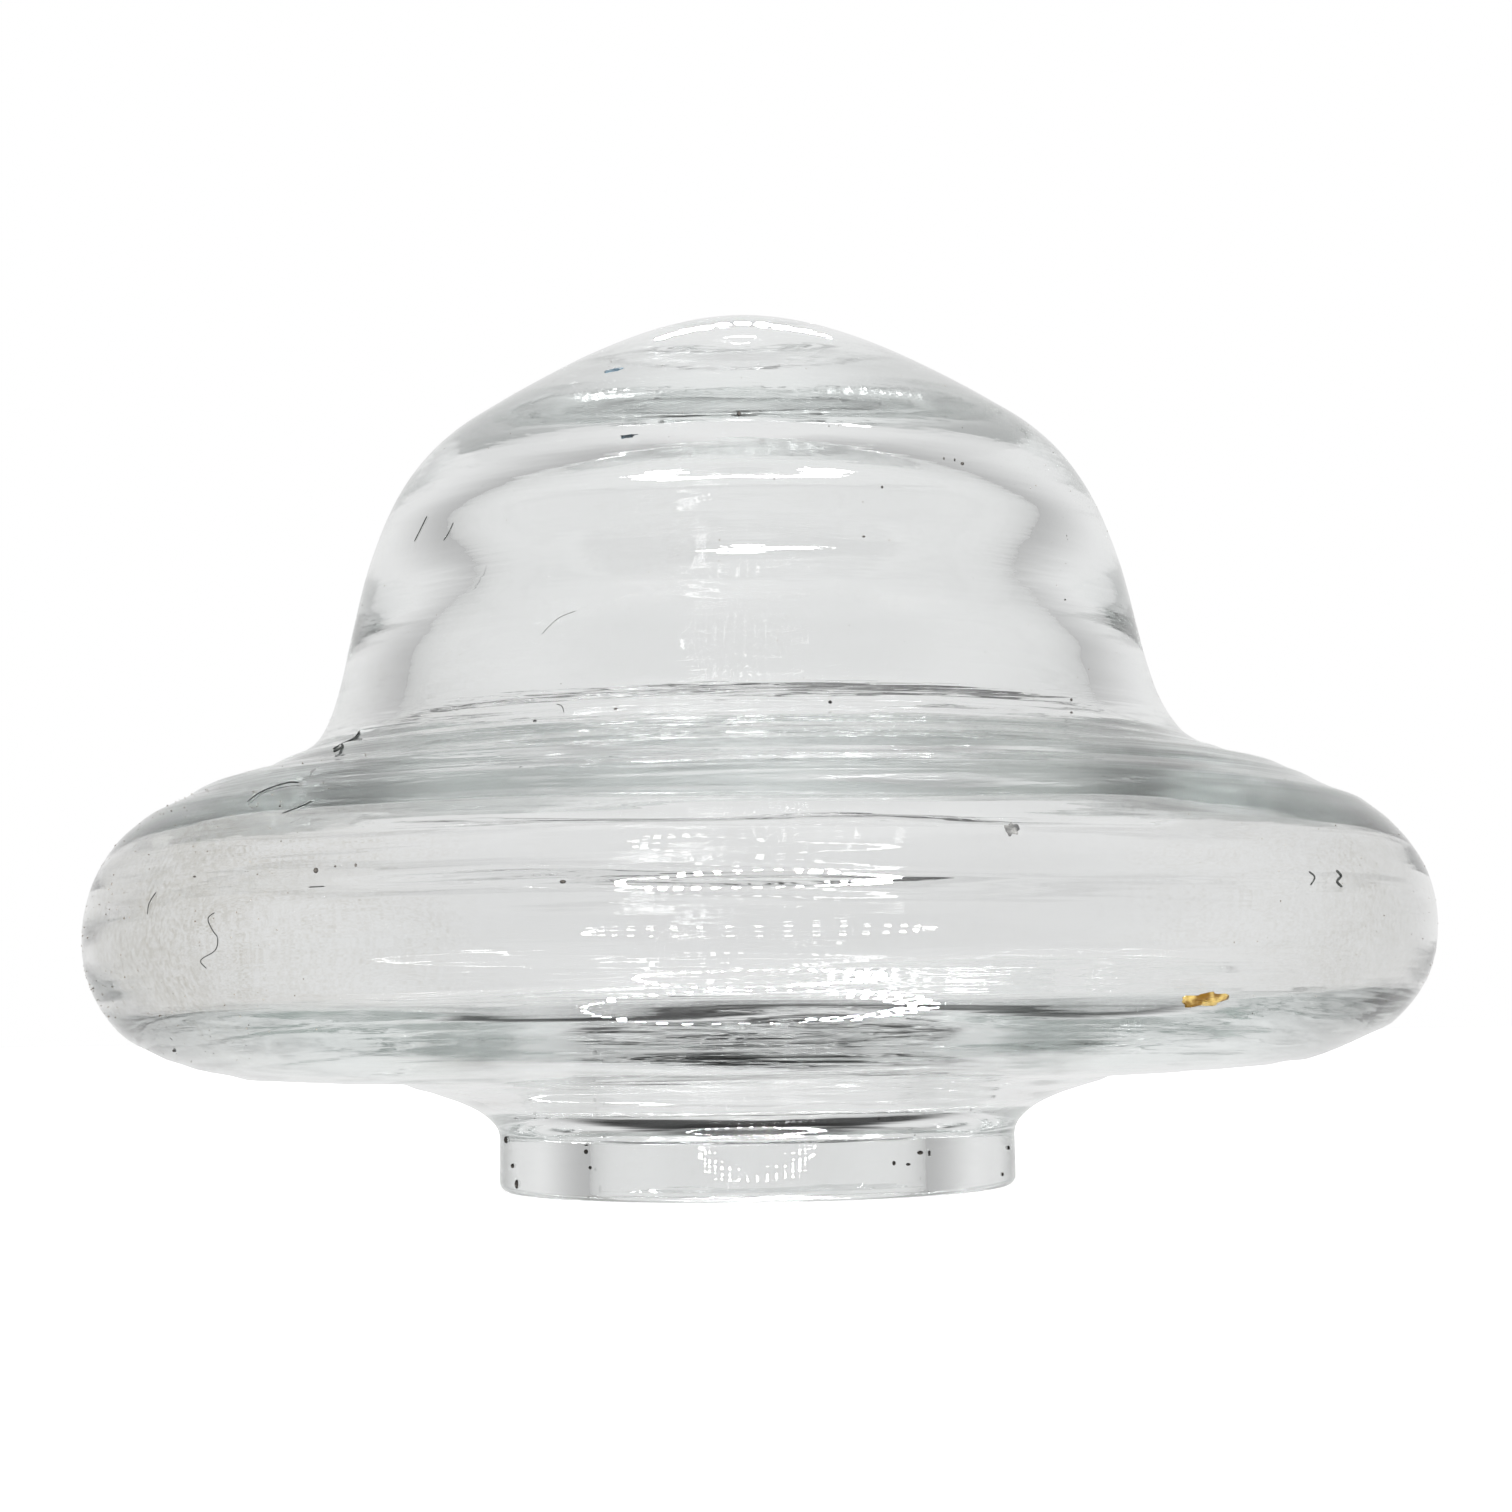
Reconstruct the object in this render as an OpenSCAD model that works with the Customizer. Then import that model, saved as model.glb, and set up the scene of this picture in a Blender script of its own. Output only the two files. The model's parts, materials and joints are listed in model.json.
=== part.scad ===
// Clear glass insulator: one hollow piece of glass turned about a single upright axis.
// Millimetres, +Z up. The origin is the centre of the neck lip that the piece stands on.

/* [Neck] */
// outside diameter of the neck
neck_d = 21.3; // [18:0.1:24]
// diameter of the open bore through the neck
bore_d = 13.9; // [10:0.1:17]
// height of the straight outside of the neck
neck_h = 2.1; // [1.5:0.1:3]
// height at which the bore opens into the hollow
bore_h = 2.6; // [1.5:0.1:3]
// radius of the rounded outer edge of the lip
lip_r = 0.4; // [0.2:0.05:0.6]
// size of the flat break on the inner edge of the lip
lip_break = 0.3; // [0.1:0.05:0.5]

/* [Brim] */
// outside diameter of the brim
brim_d = 55; // [48:0.5:60]
// height of the brim's widest point above the lip
brim_z = 10.4; // [9:0.1:12]
// height of the brim's flattened underside above the lip
brim_low_z = 4.63; // [4.5:0.01:5.5]
// radius at which the brim's top runs into the dome
root_r = 19.4; // [19:0.1:20.5]
// height of that ring above the lip
root_z = 17.4; // [17:0.1:18.2]

/* [Dome] */
// radius of the dome just above the brim
dome_low_r = 16.9; // [16.4:0.05:17.2]
// height of that ring above the lip
dome_low_z = 20.9; // [20.3:0.1:21.5]
// radius of the dome where its side turns into the shoulder
dome_r = 15.85; // [15:0.05:16.2]
// height of that ring above the lip
dome_z = 25.4; // [24.8:0.1:26]
// radius of the ring where the shoulder turns into the crown
crown_r = 11.95; // [10.5:0.05:12.5]
// height of that ring above the lip
crown_z = 31.5; // [31:0.1:32.2]
// overall height
height = 36.6; // [35.5:0.1:38]

/* [Hollow] */
// radius at which the flare of the bore turns into the floor of the hollow
flare_in_r = 11.6; // [11:0.1:12.2]
// height of that ring above the lip
flare_in_z = 5.0; // [4.8:0.1:5.6]
// radius at which the floor of the hollow is level
floor_r = 18; // [17:0.5:19]
// height of that floor above the lip
floor_z = 6.4; // [6.2:0.1:7.4]
// glass thickness at the brim's widest point
brim_wall = 0.65; // [0.6:0.05:1.5]
// radius of the ring that is measured on top of the brim's hollow
ceiling_r = 23; // [22:0.5:23.5]
// height of that ring above the lip
ceiling_z = 14.7; // [14:0.1:14.8]
// radius at which the hollow turns up into the dome
root_in_r = 16.2; // [15.5:0.1:16.5]
// height of that ring above the lip
root_in_z = 15.9; // [15.4:0.1:16]
// glass thickness of the dome just above the brim
dome_low_wall = 2.95; // [2:0.05:3.4]
// inside radius of the dome below its shoulder
dome_in_r = 12.35; // [11.8:0.05:12.8]
// height of that ring above the lip
dome_in_z = 26; // [25.5:0.1:26.8]
// radius of the inside shoulder ring
shoulder_r = 9.8; // [9.5:0.1:11.4]
// height of that ring above the lip
shoulder_z = 29.2; // [28.5:0.1:29.3]
// height of the hollow under the crown
crown_in_z = 30.4; // [29.8:0.1:31.5]
// radius of the drip that hangs under the crown
drip_r = 1.9; // [1:0.1:3]
// how far the drip hangs down
drip_h = 0.7; // [0:0.1:1.2]

/* [Quality] */
// steps along each curved run of the outline
curve_n = 14; // [6:1:24]
// sides of the round when it is shown as a mesh
round_n = 180; // [60:10:360]

/* [Hidden] */
neck_r = neck_d / 2;
bore_r = bore_d / 2;
brim_r = brim_d / 2;
flare_r = neck_r + 3.75;      // where the flare turns into the underside
flare_z = brim_low_z - 0.28;
under_r = neck_r + 6.95;      // where the underside is level
top_r = root_r + 4.9;         // where the brim's round ends on top
top_z = root_z - 1.95;
wall_r = brim_r - brim_wall;
low_in_r = dome_low_r - dome_low_wall;
tint = [0.86, 0.91, 0.90, 0.35];

// Both outlines are chains of cubic curves, each of four points [radius, height].
outside = [
  [[neck_r, neck_h], [neck_r, neck_h + 1.2], [flare_r - 1.4, flare_z - 0.45], [flare_r, flare_z]],
  [[flare_r, flare_z], [flare_r + 0.8, flare_z + 0.25], [under_r - 1.1, brim_low_z],
   [under_r, brim_low_z]],
  [[under_r, brim_low_z], [under_r + 4.9, brim_low_z], [brim_r, brim_low_z + 0.97],
   [brim_r, brim_z]],
  [[brim_r, brim_z], [brim_r, brim_z + 2.5], [top_r + 1.7, top_z - 0.85], [top_r, top_z]],
  [[top_r, top_z], [top_r - 1.8, top_z + 0.9], [root_r + 1.45, root_z - 0.53], [root_r, root_z]],
  [[root_r, root_z], [root_r - 1.5, root_z + 0.55], [dome_low_r + 0.45, dome_low_z - 1.7],
   [dome_low_r, dome_low_z]],
  [[dome_low_r, dome_low_z], [dome_low_r - 0.42, dome_low_z + 1.6], [dome_r + 0.42, dome_z - 1.4],
   [dome_r, dome_z]],
  [[dome_r, dome_z], [dome_r - 0.66, dome_z + 2.2], [crown_r + 2.4, crown_z - 1.6],
   [crown_r, crown_z]],
  [[crown_r, crown_z], [crown_r - 3.3, crown_z + 2.2], [crown_r - 7.8, height], [0, height]]
];
hollow = [
  [[bore_r, bore_h], [bore_r + 1.65, bore_h + 0.6], [flare_in_r - 1.6, flare_in_z - 1.4],
   [flare_in_r, flare_in_z]],
  [[flare_in_r, flare_in_z], [flare_in_r + 1.6, flare_in_z + 1.4], [floor_r - 2.4, floor_z],
   [floor_r, floor_z]],
  [[floor_r, floor_z], [floor_r + 4.8, floor_z], [wall_r, floor_z - 0.3], [wall_r, brim_z]],
  [[wall_r, brim_z], [wall_r, brim_z + 2.8], [ceiling_r + 2.6, ceiling_z - 0.15],
   [ceiling_r, ceiling_z]],
  [[ceiling_r, ceiling_z], [ceiling_r - 2.5, ceiling_z + 0.15], [root_in_r + 1.8, root_in_z - 1.2],
   [root_in_r, root_in_z]],
  [[root_in_r, root_in_z], [root_in_r - 1.5, root_in_z + 1], [low_in_r + 0.3, dome_low_z - 2.2],
   [low_in_r, dome_low_z]],
  [[low_in_r, dome_low_z], [low_in_r - 0.35, dome_low_z + 2], [dome_in_r + 0.2, dome_in_z - 1.8],
   [dome_in_r, dome_in_z]],
  [[dome_in_r, dome_in_z], [dome_in_r - 0.1, dome_in_z + 1.4], [shoulder_r + 0.8, shoulder_z - 0.35],
   [shoulder_r, shoulder_z]],
  [[shoulder_r, shoulder_z], [shoulder_r - 1.6, shoulder_z + 0.7], [5, crown_in_z],
   [0, crown_in_z]]
];

function bez(c, u) = pow(1 - u, 3) * c[0] + 3 * pow(1 - u, 2) * u * c[1]
  + 3 * (1 - u) * u * u * c[2] + u * u * u * c[3];
function chain(runs) = concat([runs[0][0]],
  [for (c = runs) each [for (i = [1 : curve_n]) bez(c, i / curve_n)]]);
// lowers a point of the crown's inside by the soft bump of the drip
function drip(p) = p[1] > shoulder_z ? p - [0, drip_h * exp(-1.5 * pow(p[0] / drip_r, 2))] : p;

lip_arc = [for (a = [-90 : 15 : -15]) [neck_r - lip_r, lip_r] + lip_r * [cos(a), sin(a)]];
outer = concat(lip_arc, [[neck_r, lip_r]], chain(outside));
inner = concat([[bore_r + lip_break, 0], [bore_r, lip_break]], [for (p = chain(hollow)) drip(p)]);
inner_end = len(inner) - 1;

module glass_body() {
  color(tint)
    rotate_extrude($fn = round_n)
      polygon(concat(outer, [for (i = [inner_end : -1 : 0]) inner[i]]));
}

glass_body();
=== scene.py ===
# Clear glass insulator: a hollow turned glass body with the dust and lint that lies on it, drawn round the
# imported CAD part. Blender gets metres and the dictionaries hold millimetres and degrees, +Z up, and the
# front of the piece looks along -Y.
import json
import math

import bmesh
import bpy
import numpy as np
from mathutils import Euler, Matrix, Vector

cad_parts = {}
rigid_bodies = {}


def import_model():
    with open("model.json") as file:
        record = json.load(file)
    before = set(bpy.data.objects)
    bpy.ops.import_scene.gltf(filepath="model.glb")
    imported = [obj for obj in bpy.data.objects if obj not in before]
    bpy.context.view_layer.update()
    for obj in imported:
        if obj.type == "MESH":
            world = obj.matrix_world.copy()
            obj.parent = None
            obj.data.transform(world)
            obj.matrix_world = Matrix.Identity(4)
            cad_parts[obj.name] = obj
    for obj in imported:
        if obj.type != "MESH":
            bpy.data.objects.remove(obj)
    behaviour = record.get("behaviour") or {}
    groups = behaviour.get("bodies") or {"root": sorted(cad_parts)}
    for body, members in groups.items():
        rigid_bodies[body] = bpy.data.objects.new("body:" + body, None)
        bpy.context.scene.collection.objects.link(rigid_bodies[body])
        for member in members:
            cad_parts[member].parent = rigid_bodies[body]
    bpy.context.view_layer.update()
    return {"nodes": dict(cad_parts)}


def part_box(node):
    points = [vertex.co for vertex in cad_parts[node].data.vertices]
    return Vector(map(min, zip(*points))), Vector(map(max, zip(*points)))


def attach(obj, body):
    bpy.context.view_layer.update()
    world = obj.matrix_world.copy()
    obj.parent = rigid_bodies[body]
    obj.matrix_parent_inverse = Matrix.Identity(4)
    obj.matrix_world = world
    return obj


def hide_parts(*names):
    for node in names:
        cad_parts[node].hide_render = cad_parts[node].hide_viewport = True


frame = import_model()
scene = bpy.context.scene
mm = 0.001
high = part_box("glass_body")[1]
brimR = high.x / mm
bodyHeight = high.z / mm
print("frame loaded:", sorted(frame["nodes"]), round(brimR, 2), "mm radius,", round(bodyHeight, 2), "mm high")


def addPiece(name, points, faces, material):
    # points in millimetres, faces as index rows; every piece rides on the one body
    mesh = bpy.data.meshes.new(name)
    mesh.from_pydata((np.asarray(points) * mm).tolist(), [], faces)
    work = bmesh.new()
    work.from_mesh(mesh)
    bmesh.ops.remove_doubles(work, verts=work.verts, dist=1e-7)
    bmesh.ops.recalc_face_normals(work, faces=work.faces)
    work.to_mesh(mesh)
    work.free()
    mesh.shade_smooth()
    mesh.materials.append(material)
    piece = bpy.data.objects.new(name, mesh)
    scene.collection.objects.link(piece)
    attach(piece, "root")
    return piece


def ringQuads(rows, cols):
    # quads between neighbouring rows of a grid whose columns close up on themselves
    i = np.arange(rows - 1)[:, None]
    j = np.arange(cols)[None, :]
    n = (j + 1) % cols
    return np.stack([i * cols + j, i * cols + n, (i + 1) * cols + n, (i + 1) * cols + j], -1).reshape(-1, 4)


def newMaterial(name, colour, roughness):
    material = bpy.data.materials.new(name)
    material.use_nodes = True
    shader = material.node_tree.nodes["Principled BSDF"]
    shader.inputs["Base Color"].default_value = (*colour, 1)
    shader.inputs["Roughness"].default_value = roughness
    return material, material.node_tree.nodes, material.node_tree.links, shader


# The outline of the glass. The outside and the inside are both chains of cubic curves.
glass = {
    "neckR": 10.65, "neckH": 2.1, "lipR": 0.4, "lipBreak": 0.3,
    "brimZ": 10.4, "brimLowZ": 4.63, "rootR": 19.4, "rootZ": 17.4,
    "domeLowR": 16.9, "domeLowZ": 20.9, "domeR": 15.85, "domeZ": 25.4, "crownR": 11.95, "crownZ": 31.5,
    "boreR": 6.95, "boreH": 2.6, "flareInR": 11.6, "flareInZ": 5.0, "floorR": 18.0, "floorZ": 6.4,
    "brimWall": 0.65, "ceilingR": 23.0, "ceilingZ": 14.7, "rootInR": 16.2, "rootInZ": 15.9,
    "domeLowWall": 2.95, "domeInR": 12.35, "domeInZ": 26.0, "shoulderR": 9.8, "shoulderZ": 29.2,
    "crownInZ": 30.4, "dripR": 1.9, "dripH": 0.7,
    "stepsPerRun": 21, "around": 230,
    "leanDome": -0.24, "leanBrim": 0.22,
}


def curve(points, u):
    # a cubic through four control points, at each u
    a, b, c, d = (np.array(p, float) for p in points)
    u = u[:, None]
    return (1 - u) ** 3 * a + 3 * (1 - u) ** 2 * u * b + 3 * (1 - u) * u ** 2 * c + u ** 3 * d


def chain(runs, u):
    return np.concatenate([curve(runs[0], u)] + [curve(r, u[1:]) for r in runs[1:]])


def outsideRuns(g):
    flareR, flareZ = g["neckR"] + 3.75, g["brimLowZ"] - 0.28
    underR, lowZ = g["neckR"] + 6.95, g["brimLowZ"]
    rootR, rootZ, crownR, crownZ = g["rootR"], g["rootZ"], g["crownR"], g["crownZ"]
    topR, topZ = rootR + 4.9, rootZ - 1.95
    domeLowR, domeLowZ, domeR, domeZ = g["domeLowR"], g["domeLowZ"], g["domeR"], g["domeZ"]
    return [
        [(g["neckR"], g["neckH"]), (g["neckR"], g["neckH"] + 1.2), (flareR - 1.4, flareZ - 0.45),
         (flareR, flareZ)],
        [(flareR, flareZ), (flareR + 0.8, flareZ + 0.25), (underR - 1.1, lowZ), (underR, lowZ)],
        [(underR, lowZ), (underR + 4.9, lowZ), (brimR, lowZ + 0.97), (brimR, g["brimZ"])],
        [(brimR, g["brimZ"]), (brimR, g["brimZ"] + 2.5), (topR + 1.7, topZ - 0.85), (topR, topZ)],
        [(topR, topZ), (topR - 1.8, topZ + 0.9), (rootR + 1.45, rootZ - 0.53), (rootR, rootZ)],
        [(rootR, rootZ), (rootR - 1.5, rootZ + 0.55), (domeLowR + 0.45, domeLowZ - 1.7),
         (domeLowR, domeLowZ)],
        [(domeLowR, domeLowZ), (domeLowR - 0.42, domeLowZ + 1.6), (domeR + 0.42, domeZ - 1.4),
         (domeR, domeZ)],
        [(domeR, domeZ), (domeR - 0.66, domeZ + 2.2), (crownR + 2.4, crownZ - 1.6), (crownR, crownZ)],
        [(crownR, crownZ), (crownR - 3.3, crownZ + 2.2), (crownR - 7.8, bodyHeight), (0, bodyHeight)],
    ]


def insideRuns(g):
    boreR, boreH, flareR, flareZ = g["boreR"], g["boreH"], g["flareInR"], g["flareInZ"]
    floorR, floorZ, ceilR, ceilZ = g["floorR"], g["floorZ"], g["ceilingR"], g["ceilingZ"]
    wallR, rootR, rootZ = brimR - g["brimWall"], g["rootInR"], g["rootInZ"]
    lowR, lowZ, domeR, domeZ = g["domeLowR"] - g["domeLowWall"], g["domeLowZ"], g["domeInR"], g["domeInZ"]
    shoulderR, shoulderZ = g["shoulderR"], g["shoulderZ"]
    return [
        [(boreR, boreH), (boreR + 1.65, boreH + 0.6), (flareR - 1.6, flareZ - 1.4), (flareR, flareZ)],
        [(flareR, flareZ), (flareR + 1.6, flareZ + 1.4), (floorR - 2.4, floorZ), (floorR, floorZ)],
        [(floorR, floorZ), (floorR + 4.8, floorZ), (wallR, floorZ - 0.3), (wallR, g["brimZ"])],
        [(wallR, g["brimZ"]), (wallR, g["brimZ"] + 2.8), (ceilR + 2.6, ceilZ - 0.15), (ceilR, ceilZ)],
        [(ceilR, ceilZ), (ceilR - 2.5, ceilZ + 0.15), (rootR + 1.8, rootZ - 1.2), (rootR, rootZ)],
        [(rootR, rootZ), (rootR - 1.5, rootZ + 1.0), (lowR + 0.3, lowZ - 2.2), (lowR, lowZ)],
        [(lowR, lowZ), (lowR - 0.35, lowZ + 2.0), (domeR + 0.2, domeZ - 1.8), (domeR, domeZ)],
        [(domeR, domeZ), (domeR - 0.1, domeZ + 1.4), (shoulderR + 0.8, shoulderZ - 0.35),
         (shoulderR, shoulderZ)],
        [(shoulderR, shoulderZ), (shoulderR - 1.6, shoulderZ + 0.7), (5.0, g["crownInZ"]),
         (0, g["crownInZ"])],
    ]


def glassOutline(g):
    # radius and height of the outside and of the inside, both from the lip to the crown
    u = np.linspace(0, 1, g["stepsPerRun"] + 1)
    lipTurn = np.radians(np.linspace(-90, 0, 6))
    lip = np.stack([np.cos(lipTurn), np.sin(lipTurn)], 1) * g["lipR"] + [g["neckR"] - g["lipR"], g["lipR"]]
    bore = np.array([(g["boreR"] + g["lipBreak"], 0), (g["boreR"], g["lipBreak"])])
    outer = np.concatenate([lip, chain(outsideRuns(g), u)])
    inner = chain(insideRuns(g), u)
    # the drip: a soft bump that hangs at the centre of the crown's inside
    hang = g["dripH"] * np.exp(-1.5 * (inner[:, 0] / g["dripR"]) ** 2)
    inner[:, 1] -= np.where(inner[:, 1] > g["shoulderZ"], hang, 0)
    return outer, np.concatenate([bore, inner])


# Tool marks: shallow rings left by turning, deeper round the root of the brim, under it and inside it.
ripple = {
    "waves": [4.3, 3.1, 1.7, 1.15], "depths": [0.016, 0.014, 0.008, 0.006],
    "rootDepth": 2.6, "underDepth": 2.2, "brimDepth": 1.9, "plain": 0.2,
}


def toolMarks(profile, turn):
    # the sum of sines along the outline, whose phase drifts slowly round the piece, times the local depth
    step = np.linalg.norm(np.diff(profile, axis=0, prepend=profile[:1]), axis=1)
    along = np.cumsum(step)[:, None]
    radius, height = profile[:, :1], profile[:, 1:]
    depth = ripple["plain"] + ripple["rootDepth"] * np.exp(-((height - 16.3) / 1.6) ** 2) * (radius > 15)
    inside = (np.arange(len(profile)) >= len(outer))[:, None]
    depth = depth + ripple["brimDepth"] * np.clip((radius - 20) / 4, 0, 1) * inside
    depth = depth + ripple["underDepth"] * np.exp(-((height - 5.4) / 1.4) ** 2) * (radius > 11)
    waves = 0
    for k, (wave, size) in enumerate(zip(ripple["waves"], ripple["depths"])):
        drift = 0.9 * np.sin((k + 2) * turn + 1.7 * k) + 0.5 * np.sin((3 * k + 5) * turn + k)
        waves = waves + size * np.sin(2 * math.pi * along / wave + drift + k)
    fade = np.clip(radius / 3, 0, 1) * np.clip((height - 2.2) / 1.5, 0, 1)
    return waves * depth * fade


def noiseNode(nodes, links, vector, scale, detail, dimensions="3D", w=None):
    node = nodes.new("ShaderNodeTexNoise")
    node.noise_dimensions = dimensions
    node.inputs["Scale"].default_value = scale
    node.inputs["Detail"].default_value = detail
    links.new(vector, node.inputs["Vector"])
    if w is not None:
        links.new(w, node.inputs["W"])
    return node.outputs["Fac"]


def mathNode(nodes, links, operation, *values):
    node = nodes.new("ShaderNodeMath")
    node.operation = operation
    for socket, value in zip(node.inputs, values):
        if isinstance(value, (int, float)):
            socket.default_value = value
        else:
            links.new(value, socket)
    return node.outputs[0]


def rampNode(nodes, links, value, fromMin, fromMax, toMin, toMax):
    node = nodes.new("ShaderNodeMapRange")
    node.interpolation_type = "SMOOTHSTEP"
    for name, v in zip(("From Min", "From Max", "To Min", "To Max"), (fromMin, fromMax, toMin, toMax)):
        node.inputs[name].default_value = v
    links.new(value, node.inputs["Value"])
    return node.outputs["Result"]


def filmGroup():
    # patchy fine dust: gives a colour between clean and dusty, and how rough the dust makes the surface
    group = bpy.data.node_groups.new("dustFilm", "ShaderNodeTree")
    for name, kind in (("Position", "NodeSocketVector"), ("Amount", "NodeSocketFloat"),
                       ("Clean", "NodeSocketColor"), ("Dusty", "NodeSocketColor"),
                       ("Rough", "NodeSocketFloat")):
        group.interface.new_socket(name, in_out="INPUT", socket_type=kind)
    group.interface.new_socket("Color", in_out="OUTPUT", socket_type="NodeSocketColor")
    group.interface.new_socket("Roughness", in_out="OUTPUT", socket_type="NodeSocketFloat")
    nodes, links = group.nodes, group.links
    inputs, outputs = nodes.new("NodeGroupInput"), nodes.new("NodeGroupOutput")
    patches = noiseNode(nodes, links, inputs.outputs["Position"], 260, 3)
    grit = noiseNode(nodes, links, inputs.outputs["Position"], 3800, 2)
    patchMask = rampNode(nodes, links, patches, 0.35, 0.65, 0.35, 1.0)
    gritMask = rampNode(nodes, links, grit, 0.46, 0.66, 0.2, 1.0)
    both = mathNode(nodes, links, "MULTIPLY", patchMask, gritMask)
    mask = mathNode(nodes, links, "MULTIPLY", both, inputs.outputs["Amount"])
    mix = nodes.new("ShaderNodeMix")
    mix.data_type = "RGBA"
    colours = [s for s in mix.inputs if s.type == "RGBA"]
    links.new(mask, mix.inputs["Factor"])
    links.new(inputs.outputs["Clean"], colours[0])
    links.new(inputs.outputs["Dusty"], colours[1])
    links.new([s for s in mix.outputs if s.type == "RGBA"][0], outputs.inputs["Color"])
    links.new(mathNode(nodes, links, "MULTIPLY", mask, inputs.outputs["Rough"]), outputs.inputs["Roughness"])
    return group


dustFilm = filmGroup()

finish = {
    "ior": 1.51, "tint": (0.86, 0.93, 0.91), "tintDensity": 11,
    "clean": (0.985, 0.99, 0.99), "dusty": (0.66, 0.63, 0.56), "dustRough": 0.12,
    "dustLeft": 0.8, "dustRight": 0.45, "dustElsewhere": 0.05,
    "streakAcross": 2300, "streakAround": 2.2, "streakDepth": 0.0009, "rootStreak": 5.0,
}


def glassMaterial(f):
    material, nodes, links, shader = newMaterial("clearGlass", (1, 1, 1), 0.0)
    shader.inputs["IOR"].default_value = f["ior"]
    shader.inputs["Transmission Weight"].default_value = 1.0
    position = nodes.new("ShaderNodeTexCoord").outputs["Object"]
    split = nodes.new("ShaderNodeSeparateXYZ")
    links.new(position, split.inputs[0])
    x, y, z = split.outputs

    def calc(operation, *values):
        return mathNode(nodes, links, operation, *values)

    # dust: thick on the left end of the brim, thinner on the right end, almost none elsewhere
    left = rampNode(nodes, links, x, -0.012, -0.024, 0.0, f["dustLeft"])
    right = rampNode(nodes, links, x, 0.016, 0.026, 0.0, f["dustRight"])
    amount = calc("ADD", calc("ADD", left, right), f["dustElsewhere"])
    film = nodes.new("ShaderNodeGroup")
    film.node_tree = dustFilm
    links.new(position, film.inputs["Position"])
    links.new(amount, film.inputs["Amount"])
    film.inputs["Clean"].default_value = (*f["clean"], 1)
    film.inputs["Dusty"].default_value = (*f["dusty"], 1)
    film.inputs["Rough"].default_value = f["dustRough"]
    links.new(film.outputs["Color"], shader.inputs["Base Color"])
    links.new(film.outputs["Roughness"], shader.inputs["Roughness"])

    # fine tool streaks: noise that changes fast across the outline and slowly round it, deepest at the root
    radius = calc("SQRT", calc("ADD", calc("MULTIPLY", x, x), calc("MULTIPLY", y, y)))
    safe = calc("MAXIMUM", radius, 0.0005)
    ring = nodes.new("ShaderNodeCombineXYZ")
    links.new(calc("MULTIPLY", calc("DIVIDE", x, safe), f["streakAround"]), ring.inputs[0])
    links.new(calc("MULTIPLY", calc("DIVIDE", y, safe), f["streakAround"]), ring.inputs[1])
    links.new(calc("MULTIPLY", z, float(f["streakAcross"])), ring.inputs[2])
    across = calc("MULTIPLY", radius, float(f["streakAcross"]))
    streak = noiseNode(nodes, links, ring.outputs[0], 1.0, 2, "4D", across)
    nearRoot = calc("MULTIPLY", rampNode(nodes, links, z, 0.0145, 0.0155, 0.0, 1.0),
                    rampNode(nodes, links, z, 0.0175, 0.0190, 1.0, 0.0))
    depth = calc("ADD", 1.0, calc("MULTIPLY", nearRoot, f["rootStreak"]))
    bump = nodes.new("ShaderNodeBump")
    bump.inputs["Strength"].default_value = 1.0
    bump.inputs["Distance"].default_value = f["streakDepth"] * mm * 10
    links.new(calc("MULTIPLY", streak, depth), bump.inputs["Height"])
    links.new(bump.outputs["Normal"], shader.inputs["Normal"])

    tint = nodes.new("ShaderNodeVolumeAbsorption")
    tint.inputs["Color"].default_value = (*f["tint"], 1)
    tint.inputs["Density"].default_value = f["tintDensity"]
    links.new(tint.outputs["Volume"], nodes["Material Output"].inputs["Volume"])
    return material


outer, inner = glassOutline(glass)
# outside up to the crown, then the inside back down to the lip, and the lip's flat closes the wall
profile = np.concatenate([outer, inner[::-1], outer[:1]])
turn = np.linspace(0, 2 * math.pi, glass["around"], endpoint=False)[None, :]
slope = np.gradient(profile, axis=0)
slope /= np.maximum(np.linalg.norm(slope, axis=1), 1e-9)[:, None]
marks = toolMarks(profile, turn)
marks[-1] = marks[0]
radii = profile[:, :1] + marks * slope[:, 1:]
heights = profile[:, 1:] - marks * slope[:, :1]
# the brim and the dome are each blown slightly off the neck's axis
lean = np.interp(profile[:, 1], [2, 8, 12, 20, 36], [0, 1, 1, 0, 0])[:, None] * glass["leanBrim"]
lean = lean + np.interp(profile[:, 1], [13, 22, 36], [0, 1, 1])[:, None] * glass["leanDome"]
grid = np.stack([radii * np.cos(turn) + lean, radii * np.sin(turn), heights], -1)
quads = ringQuads(*grid.shape[:2]).tolist()
glassPiece = addPiece("glassBody", grid.reshape(-1, 3), quads, glassMaterial(finish))
glassPiece.data.set_sharp_from_angle(angle=math.radians(25))
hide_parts("glass_body")
print("glass body:", len(glassPiece.data.polygons), "faces")


def onGlass(turns, heights, lift):
    # points on the outside of the glass: turn in degrees from the front to the right, height, and lift off it
    z = np.maximum.accumulate(outer[:, 1]) + np.arange(len(outer)) * 1e-7
    r = np.interp(heights, z, outer[:, 0])
    rise = (np.interp(np.add(heights, 0.05), z, outer[:, 0]) - r) / 0.05
    away = np.stack([np.ones_like(r), -rise], 1) / np.hypot(1, rise)[:, None]
    a = np.radians(turns)
    radial = r + away[:, 0] * lift
    centreX = np.interp(heights, [2, 8, 12, 20, 36], [0, 1, 1, 0, 0]) * glass["leanBrim"]
    centreX = centreX + np.interp(heights, [13, 22, 36], [0, 1, 1]) * glass["leanDome"]
    return np.stack([radial * np.sin(a) + centreX, -radial * np.cos(a), heights + away[:, 1] * lift], 1)


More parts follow.
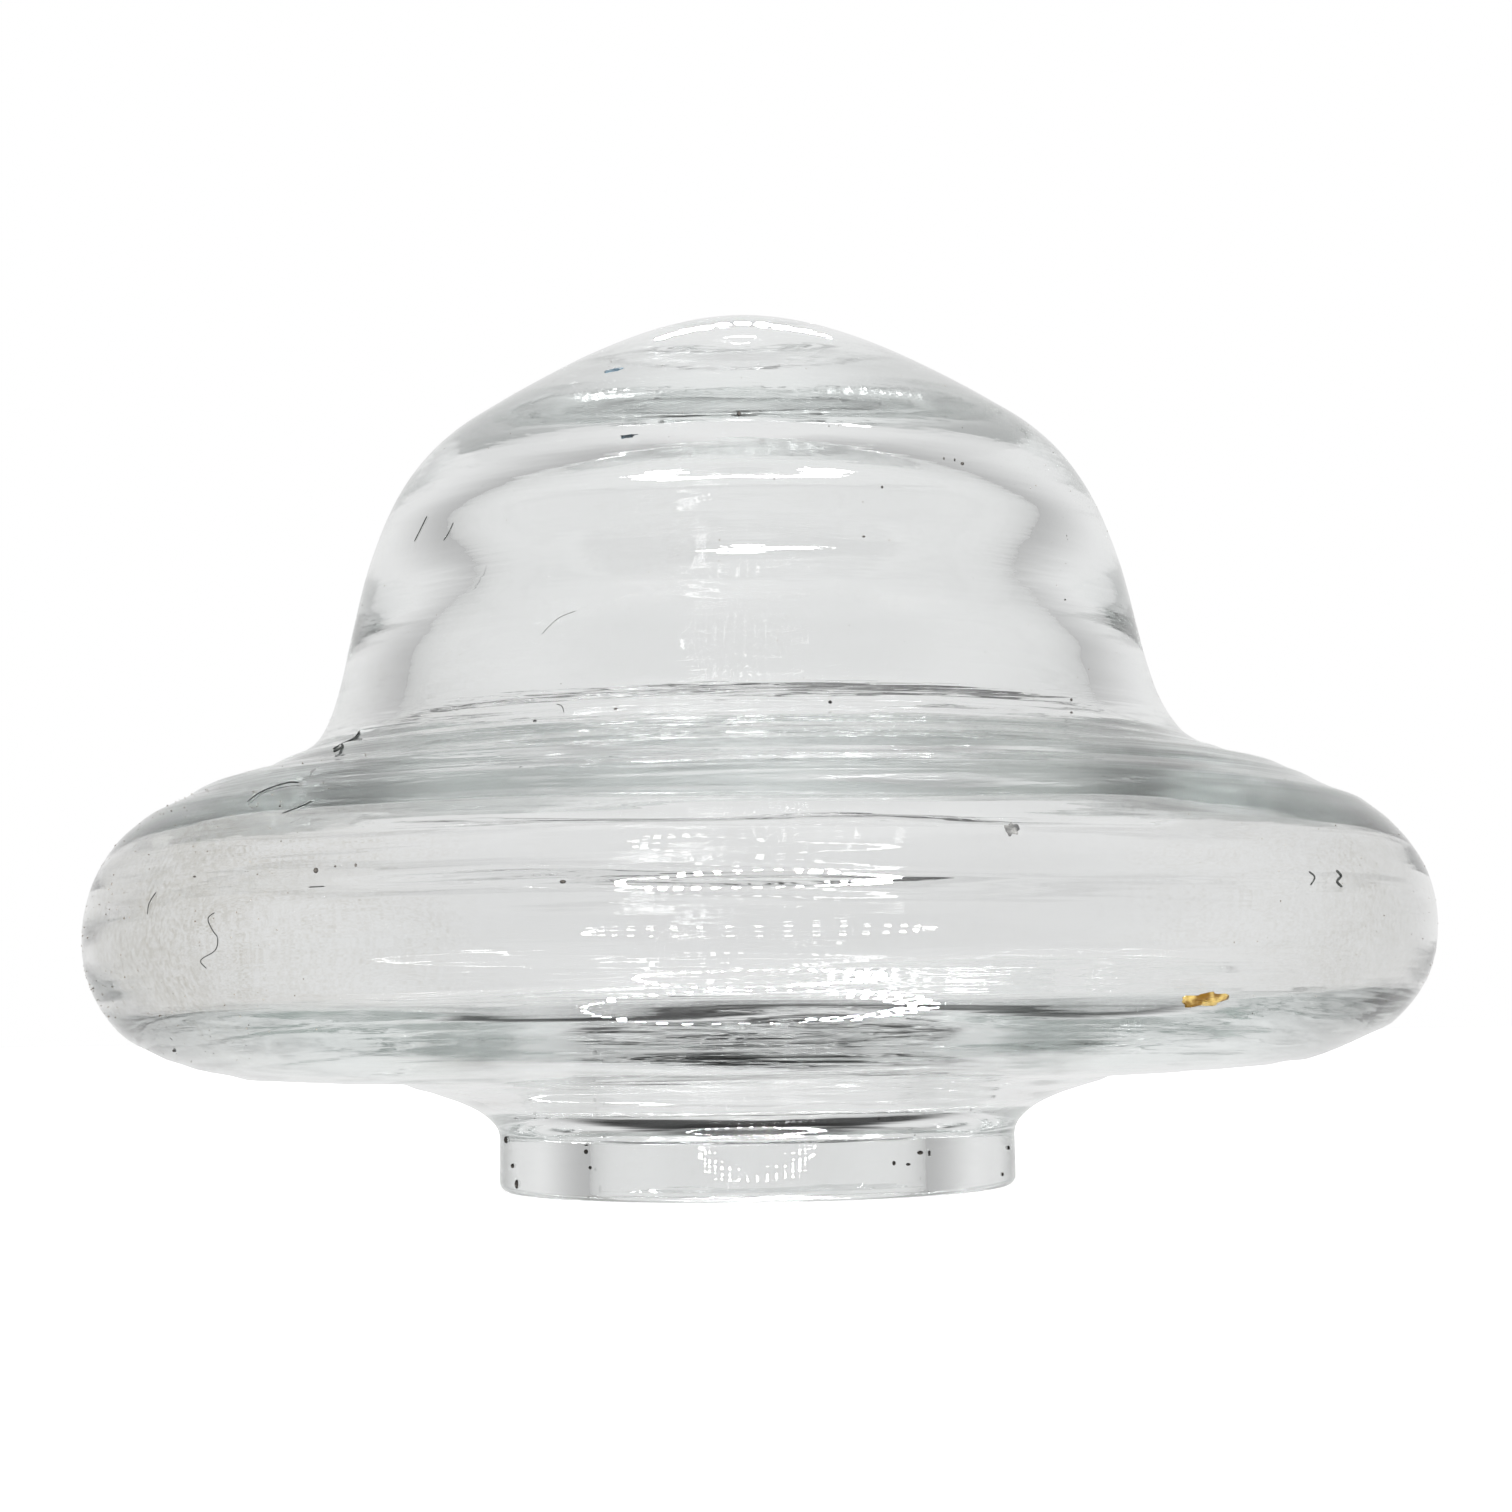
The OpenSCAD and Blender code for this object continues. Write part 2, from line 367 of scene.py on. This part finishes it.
def smoothPath(points, steps):
    # a Catmull-Rom curve through the given rows, with even steps between each pair
    p = np.asarray(points, float)
    p = np.concatenate([2 * p[:1] - p[1:2], p, 2 * p[-1:] - p[-2:-1]])
    u = np.linspace(0, 1, steps, endpoint=False)[:, None]
    spans = []
    for a, b, c, d in zip(p, p[1:], p[2:], p[3:]):
        spans.append(0.5 * (2 * b + (c - a) * u + (2 * a - 5 * b + 4 * c - d) * u ** 2
                            + (3 * b - a - 3 * c + d) * u ** 3))
    return np.concatenate(spans + [p[-2:-1]])


def fibre(path, radius, sides=6):
    # a thin tube: circles square to the path, drawn in to a point at both ends
    along = np.gradient(path, axis=0)
    along /= np.linalg.norm(along, axis=1)[:, None]
    side = np.cross(along, [0.31, 0.17, 0.94])
    side /= np.linalg.norm(side, axis=1)[:, None]
    other = np.cross(along, side)
    taper = np.ones(len(path))
    taper[[0, -1]] = 0.0
    a = np.linspace(0, 2 * math.pi, sides, endpoint=False)[None, :, None]
    circles = side[:, None] * np.cos(a) + other[:, None] * np.sin(a)
    rings = path[:, None] + radius * taper[:, None, None] * circles
    return rings.reshape(-1, 3), ringQuads(len(path), sides)


def grain(centre, size, rng):
    # a lumpy ball: latitude rings of a sphere with a random stretch each way
    up = np.linspace(-math.pi / 2, math.pi / 2, 5)[:, None]
    a = np.linspace(0, 2 * math.pi, 6, endpoint=False)[None, :]
    ball = np.stack([np.cos(up) * np.cos(a), np.cos(up) * np.sin(a), np.sin(up) + 0 * a], -1).reshape(-1, 3)
    stretch = size * rng.uniform(0.6, 1.3, 3)
    return centre + ball * stretch, ringQuads(5, 6)


def joined(parts):
    # several point-and-face pairs as one, the later faces counted on from the earlier points
    counts = np.cumsum([0] + [len(p) for p, _ in parts[:-1]])
    faces = np.concatenate([f + n for (_, f), n in zip(parts, counts)])
    return np.concatenate([p for p, _ in parts]), faces.tolist()


# Lint: each fibre is a row of turn and height on the glass, and its thickness
lint = {
    "lift": 0.03,
    "fibres": [
        ([(-52.0, 26.5), (-52.8, 26.0), (-53.7, 25.5)], 0.024),
        ([(-44.5, 25.9), (-45.0, 25.5), (-45.8, 25.2)], 0.022),
        ([(-45.4, 16.7), (-46.6, 16.95), (-48.2, 17.1), (-49.6, 17.2)], 0.048),
        ([(-53.0, 17.9), (-51.5, 17.6), (-49.6, 17.2), (-47.6, 16.9)], 0.040),
        ([(-44.0, 14.6), (-43.5, 15.0), (-41.5, 15.25), (-39.6, 15.2)], 0.026),
        ([(-38.2, 14.0), (-36.6, 14.2), (-35.6, 14.4)], 0.022),
        ([(-42.5, 10.7), (-43.3, 10.5), (-42.8, 10.1), (-42.2, 9.8), (-42.7, 9.4), (-44.6, 9.1),
          (-44.1, 8.8)], 0.018),
        ([(-25.8, 20.9), (-24.8, 21.2), (-23.4, 21.5), (-21.2, 21.7)], 0.010),
        ([(-33.0, 11.35), (-31.4, 11.35)], 0.020),
        ([(-51.0, 11.6), (-51.9, 11.2), (-52.0, 10.8)], 0.018),
        ([(43.5, 11.6), (44.1, 11.4), (43.4, 11.1)], 0.030),
        ([(47.2, 11.7), (47.7, 11.5), (47.0, 11.3), (47.6, 11.1)], 0.045),
        ([(-22.0, 18.1), (-21.2, 18.0), (-20.4, 17.7)], 0.016),
    ],
}
# Dark specks: turn, height and size of each
specks = {
    "lift": 0.02,
    "places": [
        (-0.2, 29.24, 0.11), (30.5, 27.72, 0.05), (32.4, 27.72, 0.05), (33.6, 27.6, 0.07),
        (-14.5, 17.75, 0.07), (-22.9, 17.38, 0.06), (8.9, 17.85, 0.06), (41.9, 18.45, 0.07),
        (39.6, 17.85, 0.07), (-13.1, 11.2, 0.09), (-39.0, 14.3, 0.06), (-45.8, 12.0, 0.05),
        (-32.5, 11.9, 0.08), (-30.8, 12.0, 0.05), (-29.0, 12.0, 0.05), (-60.0, 6.0, 0.08),
        (29.1, 1.35, 0.10), (32.6, 1.28, 0.09), (16.0, 24.3, 0.05), (48.0, 22.6, 0.05),
        (-71.0, 2.2, 0.16), (-66.0, 1.2, 0.13), (-63.5, 0.5, 0.15), (71.0, 1.6, 0.12),
        (66.0, 0.6, 0.10), (-37.9, 1.9, 0.08), (-36.8, 1.3, 0.09), (35.7, 1.7, 0.10),
        (19.5, 26.3, 0.05), (4.5, 26.5, 0.04),
    ],
}
# Fine dust: each patch has its turns, its heights, how many grains and their size
dust = {
    "seed": 11, "lift": 0.0,
    "patches": [(-78, -34, 5.5, 16.5, 330, 0.020), (32, 80, 6.0, 15.5, 120, 0.016),
                (-80, 80, 18.5, 33.0, 120, 0.015)],
}


def surfaceGroup():
    # small colour changes over the fibres, grains and resin
    group = bpy.data.node_groups.new("speckle", "ShaderNodeTree")
    for name, kind in (("Position", "NodeSocketVector"), ("Dark", "NodeSocketColor"),
                       ("Pale", "NodeSocketColor"), ("Scale", "NodeSocketFloat")):
        group.interface.new_socket(name, in_out="INPUT", socket_type=kind)
    group.interface.new_socket("Color", in_out="OUTPUT", socket_type="NodeSocketColor")
    nodes, links = group.nodes, group.links
    inputs, outputs = nodes.new("NodeGroupInput"), nodes.new("NodeGroupOutput")
    noise = nodes.new("ShaderNodeTexNoise")
    links.new(inputs.outputs["Position"], noise.inputs["Vector"])
    links.new(inputs.outputs["Scale"], noise.inputs["Scale"])
    mix = nodes.new("ShaderNodeMix")
    mix.data_type = "RGBA"
    colours = [s for s in mix.inputs if s.type == "RGBA"]
    links.new(rampNode(nodes, links, noise.outputs["Fac"], 0.35, 0.65, 0.0, 1.0), mix.inputs["Factor"])
    links.new(inputs.outputs["Dark"], colours[0])
    links.new(inputs.outputs["Pale"], colours[1])
    links.new([s for s in mix.outputs if s.type == "RGBA"][0], outputs.inputs["Color"])
    return group


speckle = surfaceGroup()


def speckledMaterial(name, dark, pale, scale, roughness, transmission=0.0):
    material, nodes, links, shader = newMaterial(name, dark, roughness)
    group = nodes.new("ShaderNodeGroup")
    group.node_tree = speckle
    links.new(nodes.new("ShaderNodeTexCoord").outputs["Object"], group.inputs["Position"])
    group.inputs["Dark"].default_value = (*dark, 1)
    group.inputs["Pale"].default_value = (*pale, 1)
    group.inputs["Scale"].default_value = scale
    links.new(group.outputs["Color"], shader.inputs["Base Color"])
    shader.inputs["Transmission Weight"].default_value = transmission
    return material


fibres = []
for row, thickness in lint["fibres"]:
    route = smoothPath(row, 7)
    fibres.append(fibre(onGlass(route[:, 0], route[:, 1], lint["lift"]), thickness))
darkLint = speckledMaterial("darkLint", (0.01, 0.012, 0.012), (0.06, 0.065, 0.06), 2500, 0.8)
addPiece("lintFibres", *joined(fibres), darkLint)

rng = np.random.default_rng(dust["seed"])
dots = [grain(onGlass([t], [z], specks["lift"]), size, rng) for t, z, size in specks["places"]]
soot = speckledMaterial("soot", (0.012, 0.012, 0.012), (0.10, 0.09, 0.08), 4000, 0.9)
addPiece("darkSpecks", *joined(dots), soot)

grains = []
for turnFrom, turnTo, lowest, highest, count, size in dust["patches"]:
    for t, z, s in zip(rng.uniform(turnFrom, turnTo, count), rng.uniform(lowest, highest, count),
                       rng.uniform(0.5, 1.6, count)):
        grains.append(grain(onGlass([t], [z], dust["lift"]), size * s, rng))
brownDust = speckledMaterial("brownDust", (0.10, 0.08, 0.06), (0.38, 0.34, 0.29), 3000, 0.95)
addPiece("fineDust", *joined(grains), brownDust)
print("lint, specks and dust:", len(fibres), "fibres,", len(dots), "specks,", len(grains), "grains")

# A speck of amber resin and a flake of blue-grey on the crown: flat lumps that follow the glass
flakes = {
    "amberSpeck": {"turn": 34.1, "height": 7.25, "wide": 1.9, "tall": 0.26, "thick": 0.10, "lump": 0.35},
    "blueFleck": {"turn": -26.5, "height": 32.1, "wide": 1.9, "tall": 0.14, "thick": 0.02, "lump": 0.3},
    "greyFleck": {"turn": 17.6, "height": 12.75, "wide": 0.45, "tall": 0.24, "thick": 0.05, "lump": 0.4},
}


def flake(f):
    # a lens laid on the glass: reach u and bearing v give the place, and the thickness falls towards the
    # edge as the root of 1 - u squared
    u = np.linspace(0, 1, 9)[:, None]
    v = np.linspace(0, 2 * math.pi, 28, endpoint=False)[None, :]
    edge = 1 + f["lump"] * (0.6 * np.sin(2 * v + 1) + 0.4 * np.sin(5 * v) + 0.25 * np.sin(9 * v + 2)) * u
    turns = f["turn"] + f["wide"] * u * edge * np.cos(v)
    heights = f["height"] + f["tall"] * u * edge * np.sin(v)
    swell = f["thick"] * np.sqrt(np.clip(1 - u ** 2, 0, 1)) * (1 + 0.25 * np.sin(3 * v + 4 * u))
    front = onGlass(turns.ravel(), heights.ravel(), swell.ravel() + 0.003)
    back = onGlass(turns[::-1].ravel(), heights[::-1].ravel(), 0.001)
    return np.concatenate([front, back]), ringQuads(18, 28).tolist()


resin = speckledMaterial("amberResin", (0.20, 0.10, 0.01), (0.62, 0.45, 0.14), 2600, 0.25, 0.3)
paint = speckledMaterial("bluePaint", (0.04, 0.10, 0.15), (0.18, 0.29, 0.37), 2500, 0.6)
fluff = speckledMaterial("greyLint", (0.08, 0.08, 0.08), (0.25, 0.25, 0.24), 2500, 0.8)
addPiece("amberSpeck", *flake(flakes["amberSpeck"]), resin)
addPiece("blueFleck", *flake(flakes["blueFleck"]), paint)
addPiece("greyFleck", *flake(flakes["greyFleck"]), fluff)
print("flakes:", ", ".join(flakes))

# The light: a soft grey room, dark in a wide band at the front, with a dark oval low behind the piece.
# Only the camera sees the plain white of "view". Angles are degrees: azimuth from the front, elevation up.
room = {"view": (1.0, 1.0, 1.0), "above": 0.82, "below": 0.74, "behind": 0.84, "sides": 0.46, "opening": 0.10,
        "openFrom": 50, "openTo": 96, "bandHalf": 34, "bandSoft": 20, "bandMid": -12,
        "spotRise": -52, "spotNarrow": 0.35, "spotFrom": 12, "spotTo": 22}


def softRoom(r):
    world = bpy.data.worlds.new("softRoom")
    world.use_nodes = True
    nodes, links = world.node_tree.nodes, world.node_tree.links

    def calc(operation, *values):
        return mathNode(nodes, links, operation, *values)

    def ramp(value, *limits):
        return rampNode(nodes, links, value, *limits)

    split = nodes.new("ShaderNodeSeparateXYZ")
    links.new(nodes.new("ShaderNodeTexCoord").outputs["Generated"], split.inputs[0])
    x, y, z = split.outputs
    flat = calc("SQRT", calc("ADD", calc("MULTIPLY", x, x), calc("MULTIPLY", y, y)))
    elevation = calc("MULTIPLY", calc("ARCTAN2", z, flat), 180 / math.pi)
    azimuth = calc("MULTIPLY", calc("ARCTAN2", calc("ABSOLUTE", x), calc("MULTIPLY", y, -1.0)), 180 / math.pi)
    offBand = calc("ABSOLUTE", calc("SUBTRACT", elevation, float(r["bandMid"])))
    band = ramp(offBand, r["bandHalf"], r["bandHalf"] + r["bandSoft"], 1.0, 0.0)
    front = ramp(azimuth, r["openFrom"], r["openTo"], 1.0, 0.0)
    around = calc("ADD", ramp(azimuth, 60, 110, 0.0, r["sides"] - r["behind"]),
                  ramp(azimuth, 110, 165, 0.0, r["behind"] - r["sides"]))
    level = calc("ADD", float(r["behind"]), around)
    upper = ramp(elevation, 15, 70, 0.0, r["above"] - r["behind"])
    lower = ramp(elevation, -70, -20, r["below"] - r["behind"], 0.0)
    wall = calc("ADD", level, calc("ADD", upper, lower))
    # the dark oval: how far each direction is from its middle, counted less to the sides
    rise = calc("SUBTRACT", elevation, float(r["spotRise"]))
    aside = calc("MULTIPLY", calc("SUBTRACT", 180.0, azimuth), r["spotNarrow"])
    away = calc("SQRT", calc("ADD", calc("MULTIPLY", rise, rise), calc("MULTIPLY", aside, aside)))
    wall = calc("MULTIPLY", wall, ramp(away, r["spotFrom"], r["spotTo"], 0.02, 1.0))
    shade = calc("MULTIPLY", calc("MULTIPLY", band, front), 1 - r["opening"])
    light = calc("MULTIPLY", wall, calc("SUBTRACT", 1.0, shade))
    background = nodes["Background"]
    links.new(light, background.inputs["Color"])
    plain = nodes.new("ShaderNodeBackground")
    plain.inputs["Color"].default_value = (*r["view"], 1)
    pick = nodes.new("ShaderNodeMixShader")
    links.new(nodes.new("ShaderNodeLightPath").outputs["Is Camera Ray"], pick.inputs["Fac"])
    links.new(background.outputs[0], pick.inputs[1])
    links.new(plain.outputs[0], pick.inputs[2])
    links.new(pick.outputs[0], nodes["World Output"].inputs["Surface"])
    return world


scene.world = softRoom(room)

floorSize = 2.0
floorMesh = bpy.data.meshes.new("floor")
floorCorners = [(x * floorSize, y * floorSize, 0) for x, y in ((-1, -1), (1, -1), (1, 1), (-1, 1))]
floorMesh.from_pydata(floorCorners, [], [(0, 1, 2, 3)])
floor = bpy.data.objects.new("floor", floorMesh)
floor.location.z = -0.00002
scene.collection.objects.link(floor)
floorMaterial, _, _, floorShader = newMaterial("paleFloor", (0.93, 0.93, 0.93), 0.9)
floorShader.inputs["Emission Color"].default_value = (1, 1, 1, 1)
floorShader.inputs["Emission Strength"].default_value = 0.8
floorMesh.materials.append(floorMaterial)
floor.visible_glossy = False
floor.visible_transmission = False

# The camera: close, a little above the table, tilted up and rolled a little.
view = {"distance": 109.07, "height": 6.44, "tilt": 6.02, "roll": 0.8, "lens": 61.9, "aside": 0.17}
camera = bpy.data.cameras.new("camera")
camera.sensor_width = 36
camera.lens = view["lens"]
camera.clip_start = 0.001
cameraObject = bpy.data.objects.new("camera", camera)
scene.collection.objects.link(cameraObject)
cameraObject.location = (view["aside"] * mm, -view["distance"] * mm, view["height"] * mm)
tilted = Euler((math.radians(90 + view["tilt"]), 0, 0)).to_matrix()
cameraObject.rotation_euler = (tilted @ Matrix.Rotation(math.radians(-view["roll"]), 3, "Z")).to_euler()
scene.camera = cameraObject

# Rings of small lamps. Each has its centre (y, z), its half width, how far it reaches up and back, and how
# many times its right-hand side is repeated further in.
lampRings = {
    "low": {"count": 46, "centre": (-150, -150), "across": 62, "up": 0, "back": 32, "extra": 3,
            "lampR": 1.6, "power": 0.0060},
    "under": {"count": 46, "centre": (-60, -150), "across": 60, "up": 0, "back": 44, "extra": 3,
              "lampR": 1.6, "power": 0.0060},
    "high": {"count": 44, "centre": (-109, 38), "across": 38, "up": 9, "back": 0, "extra": 1,
             "lampR": 1.2, "power": 0.0022},
    "middle": {"count": 40, "centre": (-109, -12), "across": 48, "up": 6, "back": 0, "extra": 0,
               "lampR": 1.0, "power": 0.0004},
    "rear": {"count": 24, "centre": (150, 150), "across": 24, "up": 12, "back": 12, "extra": 0,
             "lampR": 2.4, "power": 0.008},
}
sideArc = {"from": -60, "to": 70, "step": 9, "shift": 3, "inwards": 0.93, "further": 0.07}
for name, ring in lampRings.items():
    turns = [(2 * math.pi * i / ring["count"], 1.0) for i in range(ring["count"])]
    for k in range(ring["extra"]):
        part = sideArc["inwards"] - sideArc["further"] * k
        arc = range(sideArc["from"], sideArc["to"], sideArc["step"])
        turns += [(math.radians(a + sideArc["shift"] * k), part) for a in arc]
    for angle, part in turns:
        lamp = bpy.data.lights.new(name + "RingLamp", "AREA")
        lamp.shape = "DISK"
        lamp.size = 2 * ring["lampR"] * mm
        lamp.energy = ring["power"]
        lampObject = bpy.data.objects.new(name + "RingLamp", lamp)
        y, z = ring["centre"]
        rise = math.sin(angle) * part
        across = math.cos(angle) * ring["across"] * part
        place = Vector((across, y + ring["back"] * rise, z + ring["up"] * rise))
        lampObject.location = place * mm
        toPiece = Vector((0, 0, brimR / 2)) - place
        lampObject.rotation_euler = toPiece.to_track_quat("-Z", "Y").to_euler()
        lampObject.visible_camera = False
        scene.collection.objects.link(lampObject)
print("room, floor, camera and lamp rings:", ", ".join(lampRings))

scene.view_settings.view_transform = "Standard"
scene.cycles.max_bounces = 48
scene.cycles.transmission_bounces = 48
scene.cycles.glossy_bounces = 48
